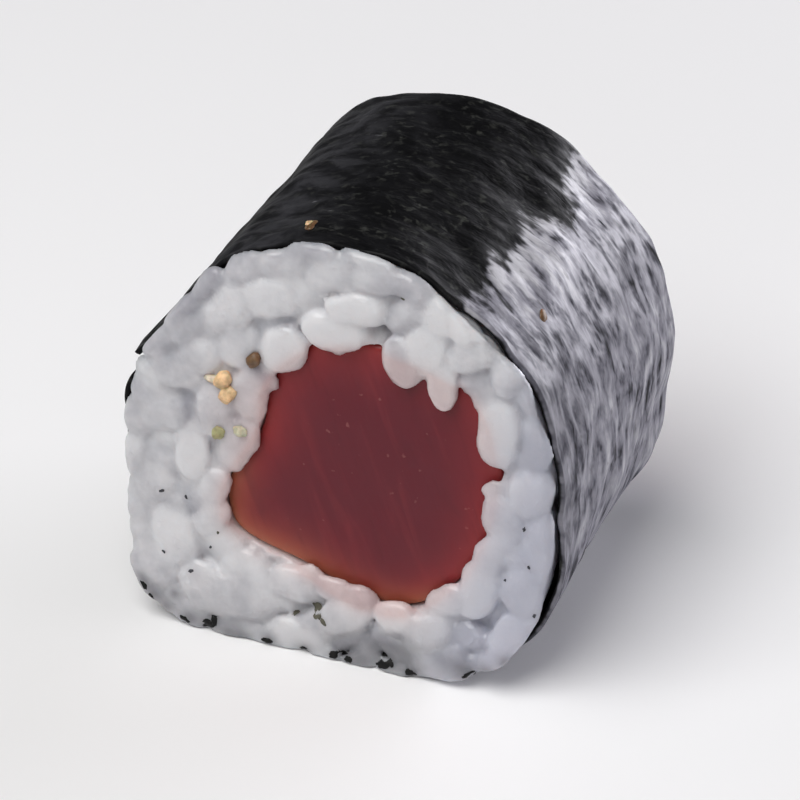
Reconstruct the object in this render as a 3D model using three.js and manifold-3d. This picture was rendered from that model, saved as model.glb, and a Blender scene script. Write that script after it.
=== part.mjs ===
// One cut piece of a tuna maki roll, lying on its side: a strip of nori round a ring of sushi rice,
// round a stick of raw tuna. Millimetres, +Z up, the roll's axis along Y, and the origin on the resting
// surface under the middle of the piece. Angles run round the roll from +X towards +Z, and a place on
// a cut face is given as x and z from the roll's centre line.
import * as THREE from "three";
import { mergeVertices } from "three/addons/utils/BufferGeometryUtils.js";
import Module from "manifold-3d";

const wasm = await Module();
wasm.setup();

const { lerp, smoothstep } = THREE.MathUtils;
const DEGREE = Math.PI / 180;
const TURN = 2 * Math.PI;

// The roll's section: round on top, squarer below, pressed flat where the nori laps over itself. The
// squareness values are exponents of a superellipse.
const ROLL_WIDTH = 29.8;
const ROLL_HEIGHT = 29.9;
const RESTING_CUT = 0.35; // how much the resting flat takes off the underside
const UPPER_SQUARENESS = 1.95;
const LOWER_SQUARENESS = { left: 3.9, right: 2.9 };
const SQUARE_FROM = 0.25; // sine of the angle below the middle where the lower part is fully square
const SIDE_BLEND = 0.5; // cosine of the angle on each side where the lower corners differ fully
const LAP_FLAT = { angle: 145 * DEGREE, distance: 13.95, blend: 0.5 };

// The lumps that the rice presses into the nori: waves round the roll and along it.
const LUMPS = [
  { turns: 3, perLength: 0.6, size: 0.09, phase: 0.4 },
  { turns: 7, perLength: -0.8, size: 0.08, phase: 2.1 },
  { turns: 11, perLength: 1.3, size: 0.06, phase: 4.4 },
  { turns: 16, perLength: -1.7, size: 0.05, phase: 1.2 },
];

// The nori: one strip, whose inner end starts under the flap and whose free edge ends on top of it.
const NORI_LENGTH = 21.2;
const NORI_THICKNESS = 0.4;
const FLAP_EDGE = 163 * DEGREE;
const LAP = 38 * DEGREE;
const LAP_GAP = 0.08;
const LAP_RISE = 12 * DEGREE; // how far past the free edge the layer below comes back up
const FLAP_LIFT = 0.15;
const FLAP_LIFT_SPAN = 6 * DEGREE;
const RIM_WAVES = [
  { turns: 5, size: 0.07 },
  { turns: 13, size: 0.05 },
];
const NORI_STEP = 4 * DEGREE;
const NORI_ROWS = 6;

// The tuna stick: the corners of its section, and its two knife faces.
const TUNA_CORNERS = [
  [10.7, 0.9],
  [9.3, 6.3],
  [3.5, 8.5],
  [-1.5, 7.9],
  [-4.6, 4.9],
  [-5.5, 0.9],
  [-8.0, -4.0],
  [-7.5, -7.0],
  [-3.0, -8.8],
  [1.5, -10.4],
  [5.0, -10.1],
  [8.4, -6.8],
  [9.9, -3.6],
];
const TUNA_MIDDLE = [1.2, -0.9];
const TUNA_LENGTH = 21.5;
const TUNA_DOME = 0.2;
const TUNA_WAIST = 0.97; // scale of its section halfway along
const TUNA_POINTS = 40;
const TUNA_ROWS = 4;

// The rice: a ring packed between the two, with the cut grains standing on both faces.
const GAP = 0.2; // clearance to the nori and the tuna
const RICE_FACE = 11.65; // furthest plane that a grain reaches, from the middle of the piece
const RICE_CORE_FACE = 10.3;
const RICE_LIP = NORI_LENGTH / 2 + 0.35; // past this the rice may spread over the nori's rim
const LIP_INSET = 0.1;
const RICE_POINTS = 80;

// Grains lie at random, turned in the face and leaning out of it. One that stands past the furthest
// plane is sliced off there.
const GRAIN = { length: 5.0, width: 3.1, spread: 0.15, lean: 50 * DEGREE };
const GRAIN_TOP = { highest: RICE_FACE + 0.35, lowest: RICE_FACE - 0.6 };
const GRAIN_BLUNTNESS = 0.75; // exponent that fills out an ellipsoid's ends
const GRAIN_ROLL = 22.5 * DEGREE; // turns a facet's edge outwards
const GRAIN_SPACING = 2.05; // least distance between the middles of two grains of a face
const GRAIN_TRIES = 3000;
const NORI_MARGIN = 0.75; // from a grain's middle to the ring's outer side
const TUNA_MARGIN = 0.6; // from a grain's middle to the tuna

// The grains along the tuna's upper edge, which hang over it on the front face.
const HANGING_GRAINS = [
  { x: -4.3, z: 7.2, turn: 60, length: 4.2, width: 3.0 },
  { x: -0.4, z: 9.3, turn: 8, length: 4.6, width: 2.9 },
  { x: 4.0, z: 7.9, turn: 100, length: 3.8, width: 2.7 },
  { x: 6.6, z: 7.3, turn: 75, length: 3.7, width: 2.0 },
  { x: 8.9, z: 8.0, turn: 20, length: 3.9, width: 2.7 },
  { x: 10.6, z: 4.2, turn: 96, length: 5.0, width: 2.7 },
];

const HALF_WIDTH = ROLL_WIDTH / 2;
const HALF_HEIGHT = (ROLL_HEIGHT + RESTING_CUT) / 2;
const CENTRE_Z = HALF_HEIGHT - RESTING_CUT;
const LAP_START = FLAP_EDGE - LAP;

// Evenly spread numbers from one value to another, both included.
const spaced = (from, to, steps) => Array.from({ length: steps + 1 }, (_, i) => lerp(from, to, i / steps));

// The smaller of a and b, rounded where they meet.
function softMin(a, b, blend) {
  const nearness = Math.max(blend - Math.abs(a - b), 0) / blend;
  return Math.min(a, b) - (nearness ** 2 * blend) / 4;
}

// A repeatable stream of numbers from 0 to 1.
function randomStream(seed) {
  let state = seed >>> 0;
  return () => {
    state = (Math.imul(state, 1664525) + 1013904223) >>> 0;
    return state / 2 ** 32;
  };
}

// The section's radius at an angle, before the lumps.
function outlineRadius(angle) {
  const across = Math.cos(angle);
  const up = Math.sin(angle);
  const { left, right } = LOWER_SQUARENESS;
  const below = lerp(left, right, smoothstep(across, -SIDE_BLEND, SIDE_BLEND));
  const power = lerp(UPPER_SQUARENESS, below, smoothstep(-up, 0, SQUARE_FROM));
  const sum = Math.abs(across / HALF_WIDTH) ** power + Math.abs(up / HALF_HEIGHT) ** power;
  const facing = Math.max(Math.cos(angle - LAP_FLAT.angle), 0.1);
  return softMin(sum ** (-1 / power), LAP_FLAT.distance / facing, LAP_FLAT.blend);
}

function lumpHeight(angle, y) {
  const waves = LUMPS.map(({ turns, perLength, size, phase }) =>
    size * Math.sin(turns * angle + (perLength * TURN * y) / NORI_LENGTH + phase),
  );
  return waves.reduce((sum, wave) => sum + wave, 0);
}

// A point of the roll at an angle and a place along it, a given depth inside the nori's outer face.
function rollPoint(angle, y, inset) {
  const radius = outlineRadius(angle) + lumpHeight(angle, y) - inset;
  const z = CENTRE_Z + radius * Math.sin(angle);
  return new THREE.Vector3(radius * Math.cos(angle), y, Math.max(z, inset));
}

// A closed solid through rings of points, with a tip in the middle of the first and the last ring.
// Rings that follow each other along +Y run from +X towards +Z.
function loft(rings, startTip, endTip) {
  const points = [startTip, ...rings.flat(), endTip];
  const count = rings[0].length;
  const last = rings.length - 1;
  const at = (ring, k) => 1 + ring * count + (k % count);
  const faces = [];
  for (let k = 0; k < count; k += 1) {
    faces.push(0, at(0, k), at(0, k + 1));
    for (let ring = 0; ring < last; ring += 1) {
      faces.push(at(ring, k), at(ring + 1, k), at(ring, k + 1));
      faces.push(at(ring, k + 1), at(ring + 1, k), at(ring + 1, k + 1));
    }
    faces.push(points.length - 1, at(last, k + 1), at(last, k));
  }
  return new THREE.BufferGeometry().setFromPoints(points).setIndex(faces);
}

function toSolid(geometry) {
  const bare = geometry.clone();
  bare.deleteAttribute("normal");
  bare.deleteAttribute("uv");
  const merged = mergeVertices(bare, 1e-4);
  return new wasm.Manifold(
    new wasm.Mesh({
      numProp: 3,
      vertProperties: new Float32Array(merged.attributes.position.array),
      triVerts: new Uint32Array(merged.index.array),
    }),
  );
}

// The solid's largest body, as a flat-shaded geometry: scraps are dropped and sealed hollows filled.
function toGeometry(solid) {
  const bodies = solid.decompose().sort((a, b) => b.volume() - a.volume());
  const { numProp, vertProperties, triVerts } = bodies[0].getMesh();
  const positions = new Float32Array(triVerts.length * 3);
  triVerts.forEach((vertex, i) => {
    positions.set(vertProperties.subarray(vertex * numProp, vertex * numProp + 3), i * 3);
  });
  const geometry = new THREE.BufferGeometry();
  geometry.setAttribute("position", new THREE.BufferAttribute(positions, 3));
  geometry.computeVertexNormals();
  return geometry;
}

// How deep the strip's outer face lies at an angle: down under the flap, and lifted at its free edge.
function layerInset(angle) {
  const under = 1 - smoothstep(angle, FLAP_EDGE, FLAP_EDGE + LAP_RISE);
  const freeEdge = FLAP_EDGE + TURN;
  const lift = smoothstep(angle, freeEdge - FLAP_LIFT_SPAN, freeEdge);
  return (NORI_THICKNESS + LAP_GAP) * under - FLAP_LIFT * lift;
}

function noriGeometry() {
  const steps = Math.round((TURN + LAP) / NORI_STEP);
  const loops = spaced(LAP_START, FLAP_EDGE + TURN, steps).map((angle) => {
    const wave = RIM_WAVES.reduce((sum, { turns, size }) => sum + size * Math.sin(turns * angle), 0);
    const half = NORI_LENGTH / 2 + wave;
    const inset = layerInset(angle);
    const outer = spaced(half, -half, NORI_ROWS).map((y) => rollPoint(angle, y, inset));
    const inner = spaced(-half, half, NORI_ROWS).map((y) => rollPoint(angle, y, inset + NORI_THICKNESS));
    return [...outer, ...inner];
  });
  const middle = (angle) => rollPoint(angle, 0, layerInset(angle) + NORI_THICKNESS / 2);
  return toGeometry(toSolid(loft(loops, middle(LAP_START), middle(FLAP_EDGE + TURN))));
}

// The tuna's section as [x, z] places, scaled about its middle and grown outwards by a clearance.
function tunaOutline(scale, growth) {
  const corners = TUNA_CORNERS.map(([x, z]) => new THREE.Vector3(x, 0, z));
  const curve = new THREE.CatmullRomCurve3(corners, true, "centripetal");
  const [middleX, middleZ] = TUNA_MIDDLE;
  return curve.getSpacedPoints(TUNA_POINTS).slice(1).map((point) => {
    const [dx, dz] = [point.x - middleX, point.z - middleZ];
    const grown = scale + growth / Math.hypot(dx, dz);
    return [middleX + dx * grown, middleZ + dz * grown];
  });
}

// The stick with slightly domed faces or, with growth, the room that the rice leaves for it.
function tunaSolid(growth) {
  const half = TUNA_LENGTH / 2 + growth;
  const ring = (y, scale) =>
    tunaOutline(scale, growth).map(([x, z]) => new THREE.Vector3(x, y, CENTRE_Z + z));
  const side = spaced(-half, half, TUNA_ROWS).map((y) => ring(y, lerp(TUNA_WAIST, 1, (y / half) ** 2)));
  const shoulder = half + TUNA_DOME * 0.7;
  const rings = [ring(-shoulder, 0.75), ...side, ring(shoulder, 0.75)];
  const tip = (y) => new THREE.Vector3(TUNA_MIDDLE[0], y, CENTRE_Z + TUNA_MIDDLE[1]);
  return toSolid(loft(rings, tip(-half - TUNA_DOME), tip(half + TUNA_DOME)));
}

// How far inside the nori's outer face the rice ends, clear of both layers of the lap.
function riceInset(angle) {
  const turned = (angle + TURN) % TURN;
  const enter = smoothstep(turned, LAP_START - 4 * DEGREE, LAP_START - 1 * DEGREE);
  const leave = 1 - smoothstep(turned, FLAP_EDGE, FLAP_EDGE + LAP_RISE);
  return NORI_THICKNESS + GAP + (NORI_THICKNESS + LAP_GAP) * enter * leave;
}

// The room that the rice has: inside the nori, and over its rims at both faces.
function riceRoom() {
  const angles = spaced(0, TURN, RICE_POINTS).slice(1);
  const inside = (y) => angles.map((angle) => rollPoint(angle, y, riceInset(angle)));
  const overRim = (y) => angles.map((angle) => rollPoint(angle, y, LIP_INSET));
  const rings = [
    overRim(-RICE_FACE),
    overRim(-RICE_LIP),
    ...spaced(-RICE_LIP, RICE_LIP, NORI_ROWS).map(inside),
    overRim(RICE_LIP),
    overRim(RICE_FACE),
  ];
  const tip = (y) => new THREE.Vector3(0, y, CENTRE_Z);
  return toSolid(loft(rings, tip(-RICE_FACE), tip(RICE_FACE)));
}

// Whether a place lies in the ring of rice with room for a grain's middle.
function inRing(x, z) {
  const angle = Math.atan2(z, x);
  if (Math.hypot(x, z) > outlineRadius(angle) - riceInset(angle) - NORI_MARGIN) return false;
  const tuna = tunaOutline(1, TUNA_MARGIN);
  const crossings = tuna.filter(([ax, az], i) => {
    const [bx, bz] = tuna[(i + 1) % tuna.length];
    return az > z !== bz > z && x < ax + ((bx - ax) * (z - az)) / (bz - az);
  });
  return crossings.length % 2 === 0;
}

// The grains of one face: those given, and others thrown at random and kept where there is room.
function layGrains(given, random) {
  const vary = () => 1 + (random() * 2 - 1) * GRAIN.spread;
  const grains = given.map((grain) => ({ ...grain, turn: grain.turn * DEGREE, lean: 0, top: RICE_FACE }));
  for (let tries = 0; tries < GRAIN_TRIES; tries += 1) {
    const x = (random() - 0.5) * ROLL_WIDTH;
    const z = (random() - 0.5) * ROLL_HEIGHT;
    const crowded = grains.some((other) => Math.hypot(other.x - x, other.z - z) < GRAIN_SPACING);
    if (crowded || !inRing(x, z)) continue;
    const turn = random() * Math.PI;
    const lean = (random() * 2 - 1) * GRAIN.lean;
    const top = lerp(GRAIN_TOP.lowest, GRAIN_TOP.highest, random());
    grains.push({ x, z, turn, lean, top, length: GRAIN.length * vary(), width: GRAIN.width * vary() });
  }
  return grains;
}

// An ellipsoid with blunt ends, its top at the given plane of the face at end, -1 or 1.
function grainSolid({ x, z, turn, lean, top, length, width }, end) {
  const geometry = new THREE.OctahedronGeometry(1, 1);
  const position = geometry.attributes.position;
  for (let i = 0; i < position.count; i += 1) {
    const along = position.getX(i);
    position.setX(i, Math.sign(along) * Math.abs(along) ** GRAIN_BLUNTNESS);
  }
  const reach = Math.hypot((length / 2) * Math.sin(lean), (width / 2) * Math.cos(lean));
  geometry
    .scale(length / 2, width / 2, width / 2)
    .rotateX(GRAIN_ROLL)
    .rotateZ(lean)
    .rotateY(-turn)
    .translate(x, end * (top - reach), CENTRE_Z + z);
  return toSolid(geometry);
}

function riceGeometry() {
  const random = randomStream(7);
  const front = layGrains(HANGING_GRAINS, random).map((grain) => grainSolid(grain, -1));
  const back = layGrains([], random).map((grain) => grainSolid(grain, 1));
  const core = toSolid(new THREE.BoxGeometry(2 * ROLL_WIDTH, 2 * RICE_CORE_FACE, 3 * ROLL_HEIGHT));
  const packed = wasm.Manifold.union([core, ...front, ...back]);
  return toGeometry(packed.intersect(riceRoom()).subtract(tunaSolid(GAP)));
}

function piece(name, geometry, color, roughness) {
  const material = new THREE.MeshStandardMaterial({ color, roughness, metalness: 0 });
  const mesh = new THREE.Mesh(geometry, material);
  mesh.name = name;
  return mesh;
}

const roll = new THREE.Group();
roll.add(
  piece("nori", noriGeometry(), 0x14171a, 0.45),
  piece("rice", riceGeometry(), 0xd9dbdc, 0.5),
  piece("tuna", toGeometry(tunaSolid(0)), 0x7d2b30, 0.35),
);

export default roll;
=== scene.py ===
"""The look of one cut piece of tuna maki: nori, packed rice, tuna, and the crumbs and flecks on it.

Places are in millimetres, as in the CAD model: x across the roll, y along it, and z up. On a cut face x and z
count from the roll's centre line. Meshes become metres when they turn into objects.
"""
import math

import bpy
import numpy as np
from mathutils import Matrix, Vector


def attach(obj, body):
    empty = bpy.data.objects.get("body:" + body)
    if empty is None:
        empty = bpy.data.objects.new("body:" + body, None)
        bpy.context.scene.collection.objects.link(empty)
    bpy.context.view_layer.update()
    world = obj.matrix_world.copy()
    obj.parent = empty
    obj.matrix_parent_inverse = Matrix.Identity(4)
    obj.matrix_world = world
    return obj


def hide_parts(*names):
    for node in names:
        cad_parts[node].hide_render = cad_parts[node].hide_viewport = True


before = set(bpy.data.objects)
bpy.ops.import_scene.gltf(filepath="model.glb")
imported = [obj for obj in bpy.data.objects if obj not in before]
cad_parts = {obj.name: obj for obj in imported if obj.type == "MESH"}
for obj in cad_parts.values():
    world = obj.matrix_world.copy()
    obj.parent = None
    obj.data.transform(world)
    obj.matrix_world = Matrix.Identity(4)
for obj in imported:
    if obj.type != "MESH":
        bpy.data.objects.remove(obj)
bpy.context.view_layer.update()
scene = bpy.context.scene

MM = 0.001
TURN = 2 * math.pi
LOW, HIGH = slice(0, -1), slice(1, None)

# The roll's section, as in the CAD model. Angles go round from the right side over the top.
ROLL_WIDTH, ROLL_HEIGHT, RESTING_CUT = 29.8, 29.9, 0.35
HALF_WIDTH, HALF_HEIGHT = ROLL_WIDTH / 2, (ROLL_HEIGHT + RESTING_CUT) / 2
CENTRE_Z = HALF_HEIGHT - RESTING_CUT
MEAN_RADIUS = 14.6
UPPER_SQUARENESS, LOWER_LEFT, LOWER_RIGHT = 1.95, 3.9, 2.9
SQUARE_FROM, SIDE_BLEND = 0.25, 0.5
LAP_FLAT_ANGLE, LAP_FLAT_DISTANCE, LAP_FLAT_BLEND = math.radians(145), 13.95, 0.5
# The roll's lumps: waves round it, waves along it, height and phase.
LUMPS = ((3, 0.6, 0.09, 0.4), (7, -0.8, 0.08, 2.1), (11, 1.3, 0.06, 4.4), (16, -1.7, 0.05, 1.2))

# The nori is wound once round, and its flap laps over its start.
NORI_LENGTH, NORI_THICKNESS = 21.2, 0.4
FLAP_EDGE, LAP, LAP_RISE = math.radians(163), math.radians(38), math.radians(12)
LAP_START = FLAP_EDGE - LAP
LAP_GAP, FLAP_LIFT, FLAP_LIFT_SPAN = 0.08, 0.35, math.radians(7)
# Its relief, coarse lumps over the grains and two sizes of creases that run round the roll: height, size
# round the roll, size along it, and seed.
CRINKLES = ((0.15, 3.8, 2.8, 11), (0.08, 2.6, 1.0, 12), (0.045, 1.1, 0.55, 13))

# The tuna's section, and how far the tuna and the rice reach from the middle of the roll.
TUNA_CORNERS = (
    (10.7, 0.9), (9.3, 6.3), (3.5, 8.5), (-1.5, 7.9), (-4.6, 4.9), (-5.5, 0.9), (-8.0, -4.0),
    (-7.5, -7.0), (-3.0, -8.8), (1.5, -10.4), (5.0, -10.1), (8.4, -6.8), (9.9, -3.6),
)
TUNA_HALF, TUNA_DOME = 10.75, 0.2
RICE_FACE, RICE_CORE_FACE, RICE_BULGE = 11.65, 11.0, 1.0


def smoothstep(x, low, high):
    t = np.clip((x - low) / (high - low), 0, 1)
    return t * t * (3 - 2 * t)


def hump(x, middle, width):
    return np.exp(-(((x - middle) / width) ** 2))


def spot(x, z, middle_x, middle_z, width, height):
    return hump(x, middle_x, width) * hump(z, middle_z, height)


def plateau(x, rise, fall):
    """1 between a rise and a fall, which are each given by their start and end."""
    return smoothstep(x, *rise) * (1 - smoothstep(x, *fall))


def lerp(a, b, t):
    return a + (b - a) * t


def soft_min(a, b, blend):
    near = np.maximum(blend - np.abs(a - b), 0) / blend
    return np.minimum(a, b) - near * near * blend / 4


def soft_max(a, b, blend):
    return -soft_min(-a, -b, blend)


def noise(x, y=0.0, z=0.0, *, seed):
    """Smooth noise from -1 to 1 with features one unit wide."""
    cell = [np.floor(v).astype(np.int64) for v in (x, y, z)]
    part = [v - c for v, c in zip((x, y, z), cell)]
    fade = [t * t * (3 - 2 * t) for t in part]

    def corner(i, j, k):
        h = (cell[0] + i) * 374761393 + (cell[1] + j) * 668265263 + (cell[2] + k) * 1440670441
        h = (h + seed * 974711) & 0xFFFFFFFF
        h = ((h ^ (h >> 13)) * 1274126177) & 0xFFFFFFFF
        h = ((h ^ (h >> 15)) * 2246822519) & 0xFFFFFFFF
        return (h ^ (h >> 16)) / 2**31 - 1

    def along_x(j, k):
        return lerp(corner(0, j, k), corner(1, j, k), fade[0])

    def along_y(k):
        return lerp(along_x(0, k), along_x(1, k), fade[1])

    with np.errstate(over="ignore"):
        return lerp(along_y(0), along_y(1), fade[2])


def outline_radius(angle):
    """The roll's outline: rounder above, squarer below, and flatter where the nori laps."""
    across, up = np.cos(angle), np.sin(angle)
    below = lerp(LOWER_LEFT, LOWER_RIGHT, smoothstep(across, -SIDE_BLEND, SIDE_BLEND))
    power = lerp(UPPER_SQUARENESS, below, smoothstep(-up, 0, SQUARE_FROM))
    total = np.abs(across / HALF_WIDTH) ** power + np.abs(up / HALF_HEIGHT) ** power
    facing = np.maximum(np.cos(angle - LAP_FLAT_ANGLE), 0.1)
    return soft_min(total ** (-1 / power), LAP_FLAT_DISTANCE / facing, LAP_FLAT_BLEND)


def lump_height(angle, y):
    return sum(
        size * np.sin(turns * angle + along * TURN * y / NORI_LENGTH + phase)
        for turns, along, size, phase in LUMPS
    )


def layer_inset(angle):
    """How far the nori lies inside the outline: its start is under the flap, whose edge lifts."""
    under = 1 - smoothstep(angle, FLAP_EDGE, FLAP_EDGE + LAP_RISE)
    lift = smoothstep(angle, FLAP_EDGE + TURN - FLAP_LIFT_SPAN, FLAP_EDGE + TURN)
    return (NORI_THICKNESS + LAP_GAP) * under - FLAP_LIFT * lift


def crinkle(angle, y):
    return sum(
        height * noise(angle * MEAN_RADIUS / around, y / along, seed=seed)
        for height, around, along, seed in CRINKLES
    )


# ---------------- meshes

def tube_faces(rings, count):
    """The quads between closed rings of points, and the triangles to the two tips that follow the rings."""
    i, k = np.meshgrid(np.arange(rings - 1), np.arange(count), indexing="ij")
    n = (k + 1) % count
    quads = np.stack([i * count + k, (i + 1) * count + k, (i + 1) * count + n, i * count + n], -1)
    k = np.arange(count)
    n, last, tip = (k + 1) % count, (rings - 1) * count, np.full(count, rings * count)
    triangles = [np.stack([k, n, tip], -1), np.stack([n + last, k + last, tip + 1], -1)]
    return quads.reshape(-1, 4), np.vstack(triangles)


def put_in_scene(data):
    thing = bpy.data.objects.new(data.name, data)
    scene.collection.objects.link(thing)
    return thing


def make_object(name, points, faces):
    """A smooth object from points in millimetres and arrays of faces that have 3 or 4 corners each."""
    mesh = bpy.data.meshes.new(name)
    mesh.from_pydata(np.asarray(points) * MM, [], [face for block in faces for face in block.tolist()])
    mesh.polygons.foreach_set("use_smooth", [True] * len(mesh.polygons))
    mesh.validate()
    return put_in_scene(mesh)


def add_values(piece, name, values):
    """Give each point a number or a vector for the shaders, and zero to the last ones that have none."""
    values = np.asarray(values, np.float32)
    missing = len(piece.data.vertices) - len(values)
    values = np.concatenate([values, np.zeros((missing, *values.shape[1:]), np.float32)])
    kind, field = ("FLOAT", "value") if values.ndim == 1 else ("FLOAT_VECTOR", "vector")
    attribute = piece.data.attributes.new(name, kind, "POINT")
    attribute.data.foreach_set(field, values.ravel())


# ---------------- materials

class NodeTree:
    """The node tree of a material or world, with short ways to add to it."""

    def __init__(self, owner):
        self.owner = owner
        owner.use_nodes = True
        self.nodes = owner.node_tree.nodes
        self.links = owner.node_tree.links

    def feed(self, node, inputs):
        """Link or set a node's inputs, which are named or numbered."""
        for key, value in inputs.items():
            if isinstance(value, bpy.types.NodeSocket):
                self.links.new(value, node.inputs[key])
            else:
                node.inputs[key].default_value = value

    def add(self, kind, inputs, **settings):
        node = self.nodes.new("ShaderNode" + kind)
        for key, value in settings.items():
            setattr(node, key, value)
        self.feed(node, inputs)
        return node

    def surface(self, **inputs):
        """Set the material's surface, and return the material."""
        named = {key.replace("_", " "): value for key, value in inputs.items()}
        self.feed(self.nodes["Principled BSDF"], named)
        return self.owner

    def place(self, output="Object"):
        return self.add("TexCoord", {}).outputs[output]

    def value(self, name, output="Fac"):
        return self.add("Attribute", {}, attribute_name=name).outputs[output]

    def product(self, a, b):
        return self.add("Math", {0: a, 1: b}, operation="MULTIPLY").outputs[0]

    def total(self, *parts):
        """The sum of values, each given with its weight."""
        terms = [value if weight == 1 else self.product(value, weight) for value, weight in parts]
        result = terms[0]
        for term in terms[1:]:
            result = self.add("Math", {0: result, 1: term}, operation="ADD").outputs[0]
        return result

    def mix(self, factor, a, b, blend="MIX"):
        inputs = {0: factor, 6: a, 7: b}
        return self.add("Mix", inputs, data_type="RGBA", blend_type=blend).outputs[2]

    def noise(self, where, scale, detail=3.0, roughness=0.55, distortion=0.0):
        """Noise at one scale, or at a scale for each axis."""
        if isinstance(scale, tuple):
            where = self.add("VectorMath", {0: where, 1: scale}, operation="MULTIPLY").outputs[0]
            scale = 1.0
        inputs = {"Vector": where, "Scale": scale, "Detail": detail}
        inputs |= {"Roughness": roughness, "Distortion": distortion}
        return self.add("TexNoise", inputs).outputs["Fac"]

    def ramp(self, value, low, high, start=0.0, end=1.0):
        """Go smoothly from start to end while the value goes from low to high."""
        inputs = {"Value": value, "From Min": low, "From Max": high, "To Min": start, "To Max": end}
        return self.add("MapRange", inputs, interpolation_type="SMOOTHSTEP").outputs["Result"]

    def bump(self, height, distance, strength):
        inputs = {"Strength": strength, "Distance": distance, "Height": height}
        return self.add("Bump", inputs).outputs["Normal"]


def new_material(name):
    return NodeTree(bpy.data.materials.new(name))


def rgb(r, g, b):
    return (r, g, b, 1.0)


def nori_material():
    """Near black with faint mottling, painted sheen, and a patchy pale painted reflection on its right side.
    """
    black, lighter, dust_grey = rgb(0.001, 0.001, 0.0012), rgb(0.004, 0.004, 0.005), rgb(0.036, 0.037, 0.034)
    sheen_grey, reflection_break_grey = rgb(0.036, 0.036, 0.041), rgb(0.045, 0.045, 0.052)
    dim_painted_reflection, painted_reflection_grey = rgb(0.083, 0.081, 0.101), rgb(0.190, 0.186, 0.220)
    bright_painted_reflection = rgb(0.42, 0.415, 0.445)

    tree = new_material("nori")
    strip, reflection_amount = tree.value("strip", "Vector"), tree.value("painted_reflection")
    patches = tree.noise(strip, (0.30, 0.42, 1.0), distortion=0.5)
    blotches = tree.noise(strip, (0.52, 0.74, 1.0), distortion=0.3)
    streaks = tree.noise(strip, (0.36, 1.3, 1.0), distortion=0.5)
    reflection_breaks = tree.noise(strip, (0.85, 2.3, 1.0), detail=2.0, distortion=0.5)
    dust = tree.noise(strip, (1.3, 1.7, 1.0), roughness=0.6, distortion=0.6)
    mixed = tree.total((blotches, 0.35), (streaks, 0.35), (patches, 0.3))

    colour = tree.mix(blotches, black, lighter)
    mottling = tree.product(tree.ramp(dust, 0.51, 0.70), tree.ramp(patches, 0.38, 0.62, 0.2, 1.0))
    colour = tree.mix(mottling, colour, dust_grey)
    # Painted sheen: a faint grey high on the left side.
    sheen = tree.product(tree.value("sheen"), tree.ramp(blotches, 0.38, 0.62, 0.25, 1.0))
    colour = tree.mix(sheen, colour, sheen_grey)

    # Painted reflection: pale patchy colour on the right side, where the side lamp and the floor would be
    # reflected, with darker breaks.
    brightness = tree.total((mixed, 1), (tree.value("painted_highlight_and_shade"), 0.12))
    reflection_colour = tree.mix(tree.ramp(brightness, 0.42, 0.56), dim_painted_reflection, painted_reflection_grey)
    reflection_colour = tree.mix(tree.ramp(brightness, 0.54, 0.69), reflection_colour, bright_painted_reflection)
    reflection_colour = tree.mix(tree.ramp(reflection_breaks, 0.57, 0.76, 0.0, 0.55), reflection_colour, reflection_break_grey)
    ragged_reflection = tree.ramp(tree.total((reflection_amount, 0.5), (mixed, 1.8)), 1.15, 1.34)
    gloss = tree.product(tree.ramp(mixed, 0.42, 0.56), tree.ramp(reflection_amount, 0.0, 1.0, 0.09, 0.55))
    return tree.surface(
        Base_Color=tree.mix(ragged_reflection, colour, reflection_colour),
        Roughness=0.62,
        Specular_IOR_Level=0.07,
        Normal=tree.bump(tree.total((streaks, 0.3), (blotches, 1)), 0.0003, 0.7),
        Coat_Weight=gloss,
        Coat_Roughness=0.36,
        Coat_IOR=1.7,
    )


def rice_material():
    """White to clear grey grains, pink beside the tuna, and painted shade between grains, bluish at the right
    and dark along the lower rim.
    """
    white, clear, crevice_shade_grey = rgb(0.68, 0.675, 0.695), rgb(0.32, 0.32, 0.36), rgb(0.30, 0.30, 0.34)
    pink, bluish, dark = rgb(0.62, 0.34, 0.31), rgb(0.44, 0.45, 0.535), rgb(0.15, 0.15, 0.165)

    tree = new_material("rice")
    where = tree.place()
    cloud = tree.noise(where, 420.0)
    skin = tree.noise(where, 1100.0, detail=4.0, roughness=0.65)
    colour = tree.mix(tree.ramp(tree.total((tree.value("tone"), 1), (cloud, 0.9)), 0.45, 1.25), clear, white)
    # Painted shade between and under the grains.
    colour = tree.mix(tree.product(tree.value("crevice_shade"), 0.15), colour, crevice_shade_grey)
    colour = tree.mix(tree.value("blush"), colour, pink)
    # Painted shade: bluish towards the right.
    colour = tree.mix(tree.value("painted_cool_shade"), colour, bluish)
    return tree.surface(
        # Painted shade: darker low on the right and along the lower rim.
        Base_Color=tree.mix(tree.value("painted_shade"), colour, dark),
        Roughness=tree.ramp(cloud, 0.3, 0.7, 0.28, 0.45),
        Normal=tree.bump(skin, 0.00016, 0.7),
        Subsurface_Weight=0.65,
        Subsurface_Radius=(1.0, 0.85, 0.8),
        Subsurface_Scale=0.0025,
        IOR=1.45,
        Coat_Weight=0.3,
        Coat_Roughness=0.16,
    )


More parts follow.
